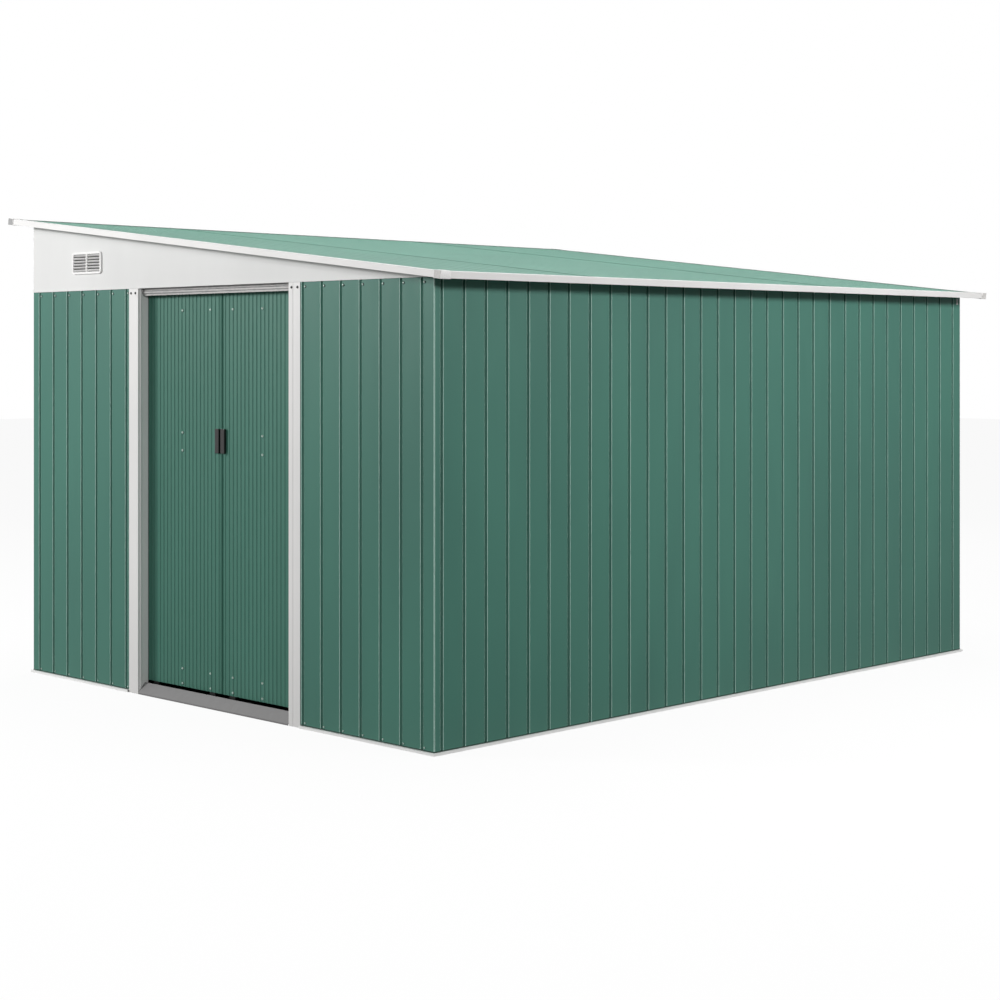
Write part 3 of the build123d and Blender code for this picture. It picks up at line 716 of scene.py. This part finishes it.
@dataclass
class RoofEdge:
    """Corners of the roof's sloping edge, in millimetres."""

    half_width: float = 1336.0
    half_depth: float = 1697.5
    length: float = 2689.1  # along the slope
    sheet_line: float = 1620.15  # height of the roof's line at the low edge
    fall: float = 0.113
    middle: float = -7.8  # middle of the trims' webs, square to the slope from the sheet

    def corner(self, high: bool, back: bool) -> Matrix:
        """Frame of a corner, halfway up the trims' webs.

        Args:
            high: the high edge rather than the low one.
            back: the back rather than the front.

        Returns:
            A frame with X from the corner along the slope, Y from it along the side and Z square to the roof.
        """
        angle = math.atan(self.fall)
        up_slope = Vector((-math.cos(angle), 0, math.sin(angle)))
        square = Vector((math.sin(angle), 0, math.cos(angle)))
        side = self.half_depth if back else -self.half_depth
        along = self.length if high else 0.0
        origin = mm(self.half_width, side, self.sheet_line) + (up_slope * along + square * self.middle) * MM
        axes = Matrix((-up_slope if high else up_slope, (0, -1 if back else 1, 0), square)).transposed()
        return Matrix.Translation(origin) @ axes.to_4x4()


@dataclass
class CornerCap:
    """Moulded cap over a corner of the roof trims, open towards both trims, in millimetres."""

    width: float = 33.0
    length: float = 46.0
    height: float = 28.0
    proud: float = 2.0
    wall: float = 1.7
    rounding: float = 0.8
    rim: float = 2.5
    recess: float = 0.6
    plate: float = 0.5  # thickness of the end at its rim, less than its recess

    def shell(self) -> bpy.types.Object:
        """Model the cap's shell in the corner's frame.

        Returns:
            The shell, in object mode.
        """
        made = edit_new(bpy.ops.mesh.primitive_cube_add, size=1.0, location=(0, 0, 0))
        size = mm(self.width + self.proud, self.length + self.proud, self.height)
        bpy.ops.transform.resize(value=size, center_override=(0, 0, 0))
        middle = mm((self.width - self.proud) / 2, (self.length - self.proud) / 2, 0)
        bpy.ops.transform.translate(value=middle)
        select_faces(made, lambda centre, normal: normal.x > FACING or normal.y > FACING)
        bpy.ops.mesh.delete(type="FACE")
        bpy.ops.object.mode_set(mode="OBJECT")
        for kind, settings in (
            ("SOLIDIFY", {"thickness": self.wall * MM, "offset": -1.0}),
            ("BEVEL", {"width": self.rounding * MM, "segments": 2, "limit_method": "ANGLE"}),
        ):
            modifier = made.modifiers.new(kind.lower(), kind)
            for name, value in settings.items():
                setattr(modifier, name, value)
            bpy.ops.object.modifier_apply(modifier=modifier.name)
        return made

    def end(self) -> bpy.types.Object:
        """Model the textured end with its raised rim, on the XZ plane and facing -Y.

        Returns:
            The end, in object mode.
        """
        made = edit_new(bpy.ops.mesh.primitive_cube_add, size=1.0, location=(0, 0, 0))
        across = self.width - self.rounding
        size = mm(across, self.plate, self.height - 2 * self.rounding)
        bpy.ops.transform.resize(value=size, center_override=(0, 0, 0))
        middle = mm(across / 2 - self.proud, -self.proud - self.recess, 0)
        bpy.ops.transform.translate(value=middle)
        select_faces(made, lambda centre, normal: normal.y < -FACING)
        bpy.ops.mesh.inset(thickness=self.rim * MM)
        bpy.ops.transform.translate(value=mm(0, self.recess, 0))
        bpy.ops.object.mode_set(mode="OBJECT")
        return made


def settle(made: bpy.types.Object, place: Matrix) -> None:
    """Move a piece's mesh to its place and turn its faces outwards.

    Args:
        made: the piece, in object mode.
        place: the frame that its mesh was drawn in.
    """
    made.data.transform(place)
    bpy.ops.object.mode_set(mode="EDIT")
    bpy.ops.mesh.select_all(action="SELECT")
    bpy.ops.mesh.normals_make_consistent(inside=False)
    bpy.ops.object.mode_set(mode="OBJECT")


@dataclass
class CornerCaps:
    """Caps over the four corners of the roof trims, which stand for the model's own."""

    edge: RoofEdge = field(default_factory=RoofEdge)
    cap: CornerCap = field(default_factory=CornerCap)

    def build(self) -> None:
        """Model the caps and their textured ends."""
        # Swaps X and Y, so that a back cap's textured end faces the low or high side.
        swap = Matrix(((0, 1, 0, 0), (1, 0, 0, 0), (0, 0, 1, 0), (0, 0, 0, 1)))
        corners = (
            ("low_front", self.edge.corner(False, False), CAP_END_LIGHT),
            ("low_back", self.edge.corner(False, True) @ swap, CAP_END_LIGHT),
            # the high ends take the painted shade
            ("high_front", self.edge.corner(True, False), CAP_END_PAINTED_SHADE),
            ("high_back", self.edge.corner(True, True) @ swap, CAP_END_PAINTED_SHADE),
        )
        for name, place, finish in corners:
            shell = self.cap.shell()
            settle(shell, place)
            finish_piece(shell, f"corner_cap_{name}", "shed", CAP_PLASTIC)
            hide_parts("corner_caps")
            end = self.cap.end()
            settle(end, place)
            finish_piece(end, f"cap_end_{name}", "shed", finish)


@dataclass
class EaveTab:
    """Folded tab of the roof rail that shows under the low edge, in millimetres."""

    place: Vector = field(default_factory=lambda: mm(1240.9, 1612.0, 1588.0))
    width: float = 13.0
    height: float = 24.0
    depth: float = 1.6
    bend: float = 0.8
    foot: float = 2.0

    def build(self) -> None:
        """Model the tab with a bent foot."""
        made = edit_new(bpy.ops.mesh.primitive_cube_add, size=1.0)
        bpy.ops.transform.resize(value=mm(self.depth, self.width, self.height), center_override=(0, 0, 0))
        select_faces(made, lambda centre, normal: normal.z < -FACING)
        bpy.ops.mesh.extrude_region_move(TRANSFORM_OT_translate={"value": mm(self.bend, 0, -self.foot)})
        bpy.ops.object.mode_set(mode="OBJECT")
        made.location = self.place
        finish_piece(made, "eave_tab", "shed", TRIM_WHITE)


class Dressing:
    """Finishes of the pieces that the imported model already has."""

    FINISHES = (
        (("front_wall", "left_wall", "right_wall", "back_wall"), WALL_GREEN),
        (("roof_sheet",), ROOF_GREEN),
        (("door_left_panel", "door_right_panel"), DOOR_GREEN),
        (("gable_plate", "high_plate"), PLATE_WHITE),
        (("roof_trim", "door_post"), TRIM_WHITE),
        (("base_rail",), RAIL_WHITE_PAINTED_LIGHT),
        (("vent_front", "vent_back"), VENT_PLASTIC),
        (("corner_caps",), CAP_PLASTIC),
        (("door_left_handle", "door_right_handle"), HANDLE_PLASTIC),
        (("door_left_sliders", "door_right_sliders"), NYLON),
        (("threshold_ramp",), ZINC_RAMP),
    )

    def finish_for(self, name: str) -> Finish:
        """Choose the finish of a node by the start of its name.

        Args:
            name: the node's name.

        Returns:
            Its finish, or the rails' zinc where no start fits.
        """
        for starts, finish in self.FINISHES:
            if name.startswith(starts):
                return finish
        return ZINC_RAIL

    def build(self) -> None:
        """Give each node its finish."""
        for name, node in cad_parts.items():
            material = self.finish_for(name).material()
            if not node.material_slots:
                node.data.materials.append(material)
            for place in node.material_slots:
                place.link = "OBJECT"
                place.material = material
            LOG.info("%s: %s", name, material.name)


@dataclass
class FootShadeStrip:
    """Dark strip between the wall sheets' feet and the base rails, which paints the shade of the gap there,
    in millimetres.
    """

    half_width: float = 1240.0
    half_depth: float = 1637.5
    foot: float = 10.0
    height: float = 3.5
    proud: float = 0.7
    depth: float = 10.0
    rounding: float = 0.3
    opening: float = 536.0  # outer edge of a door post

    def strip(self, name: str, low: Vector, high: Vector) -> None:
        """Model one strip.

        Args:
            name: the piece's name.
            low: its lowest corner.
            high: its highest corner.
        """
        made = edit_new(bpy.ops.mesh.primitive_cube_add, size=1.0, location=(0, 0, 0))
        bpy.ops.transform.resize(value=high - low, center_override=(0, 0, 0))
        bpy.ops.transform.translate(value=(high + low) / 2)
        bpy.ops.mesh.select_all(action="SELECT")
        bpy.ops.mesh.bevel(offset=self.rounding * MM, segments=1, affect="EDGES")
        bpy.ops.object.mode_set(mode="OBJECT")
        finish_piece(made, name, "shed", FOOT_SHADE_PAINT)

    def build(self) -> None:
        """Lay the strips under all four walls, with the doorway left open."""
        wide, long = self.half_width + self.proud, self.half_depth + self.proud
        inner_x, inner_y = wide - self.depth, long - self.depth
        for name, low, high in (
            ("right", (inner_x, -long), (wide, long)),
            ("left", (-wide, -long), (-inner_x, long)),
            ("back", (-inner_x, inner_y), (inner_x, long)),
            ("front_left", (-inner_x, -long), (-self.opening, -inner_y)),
            ("front_right", (self.opening, -long), (inner_x, -inner_y)),
        ):
            self.strip(f"foot_seal_{name}", mm(*low, self.foot), mm(*high, self.foot + self.height))


@dataclass
class MeetingHem:
    """Rolled hem along a door's meeting edge, in millimetres."""

    radius: float = 2.4
    inset: float = 3.4  # from the joint of the doors to the hem's middle
    face: float = -1585.6
    foot: float = 51.0
    top: float = 1590.0
    sides: int = 12
    rim: float = 0.4

    def build(self) -> None:
        """Model a hem on each door."""
        for body, side in (("door_left", -1), ("door_right", 1)):
            made = edit_new(
                bpy.ops.mesh.primitive_cylinder_add,
                vertices=self.sides,
                radius=self.radius * MM,
                depth=(self.top - self.foot) * MM,
                location=mm(side * self.inset, self.face, (self.top + self.foot) / 2),
            )
            select_faces(made, lambda centre, normal: abs(normal.z) > FACING)
            bpy.ops.mesh.inset(thickness=self.rim * MM)
            bpy.ops.object.mode_set(mode="OBJECT")
            bpy.ops.object.transform_apply(location=True, rotation=True, scale=True)
            finish_piece(made, f"{body}_meeting_hem", body, DOOR_GREEN)


def white_rays(tree: bpy.types.NodeTree) -> bpy.types.NodeSocket:
    """Add the test of which rays see the white background.

    Args:
        tree: the node tree that it goes into.

    Returns:
        A socket that is 1 for camera, glossy and transmission rays.
    """
    path = add_node(tree, "LightPath")
    seen = path.outputs["Is Camera Ray"]
    for kind in ("Is Glossy Ray", "Is Transmission Ray"):
        larger = add_node(tree, "Math", {"operation": "MAXIMUM"}, i0=seen, i1=path.outputs[kind])
        seen = larger.outputs["Value"]
    return seen


@dataclass(frozen=True)
class Panel:
    """An area lamp: its middle, what it faces, its width and height in metres, and its watts."""

    name: str
    place: tuple[float, float, float]
    aim: tuple[float, float, float]
    size: tuple[float, float]
    power: float

    def hang(self) -> None:
        """Add the lamp to the scene."""
        data = bpy.data.lights.new(self.name, "AREA")
        data.shape = "RECTANGLE"
        data.size, data.size_y = self.size
        data.energy = self.power
        lamp = bpy.data.objects.new(self.name, data)
        lamp.location = self.place
        lamp.rotation_euler = (Vector(self.aim) - Vector(self.place)).to_track_quat("-Z", "Y").to_euler()
        bpy.context.scene.collection.objects.link(lamp)


PANELS = (
    Panel("key_panel", (-5.4, -7.0, 3.5), (-0.2, -1.6, 1.3), (1.2, 0.9), 125),
    Panel("near_key_panel", (-3.0, -5.0, 2.6), (-0.2, -1.6, 1.5), (1.4, 1.0), 125),
    Panel("front_panel", (2.4, -8.0, 2.8), (0.9, -1.6, 1.6), (1.0, 1.0), 50),
    Panel("camera_panel", (6.2, -6.4, 3.2), (1.0, -1.2, 1.4), (0.6, 0.6), 150),
    Panel("right_panel", (4.4, 1.0, 2.6), (1.2, 0.8, 1.4), (4.2, 0.7), 112),
    Panel("back_left_panel", (-5.0, 5.5, 1.2), (-1.0, 1.4, 1.3), (2.0, 1.6), 130),
    Panel("top_panel", (-0.4, 0.5, 6.5), (0.0, 0.2, 1.6), (4.0, 5.0), 310),
)


@dataclass
class Studio:
    """Floor, light and camera, in metres."""

    sensor: float = 36.0  # mm
    lens: float = 70.704  # mm
    shift: tuple[float, float] = (-0.0007, -0.146)
    camera_place: tuple[float, float, float] = (6.0451, -6.1575, 1.3499)
    camera_turn: float = 44.81  # degrees from facing +Y
    sky: float = 0.1  # strength of the even light
    floor_size: float = 60.0
    floor_height: float = -0.0005  # just under the shed's feet
    floor_paint: str = "#6E6E6C"
    floor_shadow: float = 0.06  # share of the seen floor that takes light and shadow
    covered: tuple[float, float] = (1.24, 1.62)  # half sizes of the ground that isn't shown white

    def camera(self) -> None:
        """Place the camera level, as the photograph's was, with its frame shifted down."""
        data = bpy.data.cameras.new("camera")
        data.sensor_width = self.sensor
        data.lens = self.lens
        data.shift_x, data.shift_y = self.shift
        camera = bpy.data.objects.new("camera", data)
        camera.location = self.camera_place
        camera.rotation_euler = (math.radians(90), 0, math.radians(self.camera_turn))
        bpy.context.scene.collection.objects.link(camera)
        bpy.context.scene.camera = camera

    def world(self) -> None:
        """Light the world evenly, and show it white to the eye and to reflections."""
        world = bpy.data.worlds.new("studio_sky")
        bpy.context.scene.world = world
        world.use_nodes = True
        tree = world.node_tree
        tree.nodes.clear()
        even = add_node(tree, "Background", {"Color": linear("#FFFFFF"), "Strength": self.sky})
        white = add_node(tree, "Background", {"Color": linear("#FFFFFF"), "Strength": 1.0})
        seen, lights = white_rays(tree), (even.outputs["Background"], white.outputs["Background"])
        mixed = add_node(tree, "MixShader", i0=seen, i1=lights[0], i2=lights[1])
        add_node(tree, "OutputWorld", Surface=mixed.outputs["Shader"])

    def floor(self) -> None:
        """Lay a pale floor that shows white and keeps a soft shadow."""
        ground = (0, 0, self.floor_height)
        made = edit_new(bpy.ops.mesh.primitive_plane_add, size=self.floor_size, location=ground)
        bpy.ops.mesh.subdivide(number_cuts=3)
        bpy.ops.object.mode_set(mode="OBJECT")
        made.name = "studio_floor"
        material = bpy.data.materials.new("pale_floor_paint")
        material.use_nodes = True
        tree = material.node_tree
        shader = tree.nodes["Principled BSDF"]
        shader.inputs["Base Color"].default_value = linear(self.floor_paint)
        shader.inputs["Roughness"].default_value = 0.9
        shader.inputs["Specular IOR Level"].default_value = 0.1
        place = add_node(tree, "SeparateXYZ", Vector=add_node(tree, "TexCoord").outputs["Object"]).outputs
        past = []
        for axis, half in zip("XY", self.covered):
            size = add_node(tree, "Math", {"operation": "ABSOLUTE"}, i0=place[axis]).outputs["Value"]
            beyond = {"operation": "GREATER_THAN", 1: half}
            past.append(add_node(tree, "Math", beyond, i0=size).outputs["Value"])
        outside = add_node(tree, "Math", {"operation": "MAXIMUM"}, i0=past[0], i1=past[1]).outputs["Value"]
        seen = {"operation": "MULTIPLY"}
        white = add_node(tree, "Math", seen, i0=outside, i1=white_rays(tree)).outputs["Value"]
        glow = add_node(tree, "Emission", {"Color": linear("#FFFFFF"), "Strength": 1.0})
        lit = add_node(tree, "BsdfDiffuse", {"Color": linear("#F4F4F4")})
        share = {0: self.floor_shadow}
        shadowed = add_node(tree, "MixShader", share, i1=glow.outputs["Emission"], i2=lit.outputs["BSDF"])
        faces = shader.outputs["BSDF"], shadowed.outputs["Shader"]
        mixed = add_node(tree, "MixShader", i0=white, i1=faces[0], i2=faces[1])
        output = next(node for node in tree.nodes if node.type == "OUTPUT_MATERIAL")
        tree.links.new(mixed.outputs["Shader"], output.inputs["Surface"])
        made.data.materials.append(material)

    def build(self) -> None:
        """Set up the studio."""
        bpy.context.scene.view_settings.view_transform = "Standard"
        self.camera()
        self.world()
        self.floor()
        for panel in PANELS:
            panel.hang()


def clear_start_scene() -> None:
    """Remove what a new file holds before the shed is dressed."""
    for name in ("Cube", "Light", "Camera"):
        old = bpy.data.objects.get(name)
        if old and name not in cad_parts:
            bpy.data.objects.remove(old)


def main() -> None:
    """Dress the shed and set up the studio."""
    logging.basicConfig(level=logging.INFO, format="%(name)s: %(message)s")
    clear_start_scene()
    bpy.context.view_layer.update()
    for part in (
        Dressing(),
        WallFixings(),
        PostFixings(),
        DoorFixings(),
        VentScreen(),
        CornerCaps(),
        EaveTab(),
        FootShadeStrip(),
        MeetingHem(),
        Studio(),
    ):
        part.build()


if __name__ == "__main__":
    main()
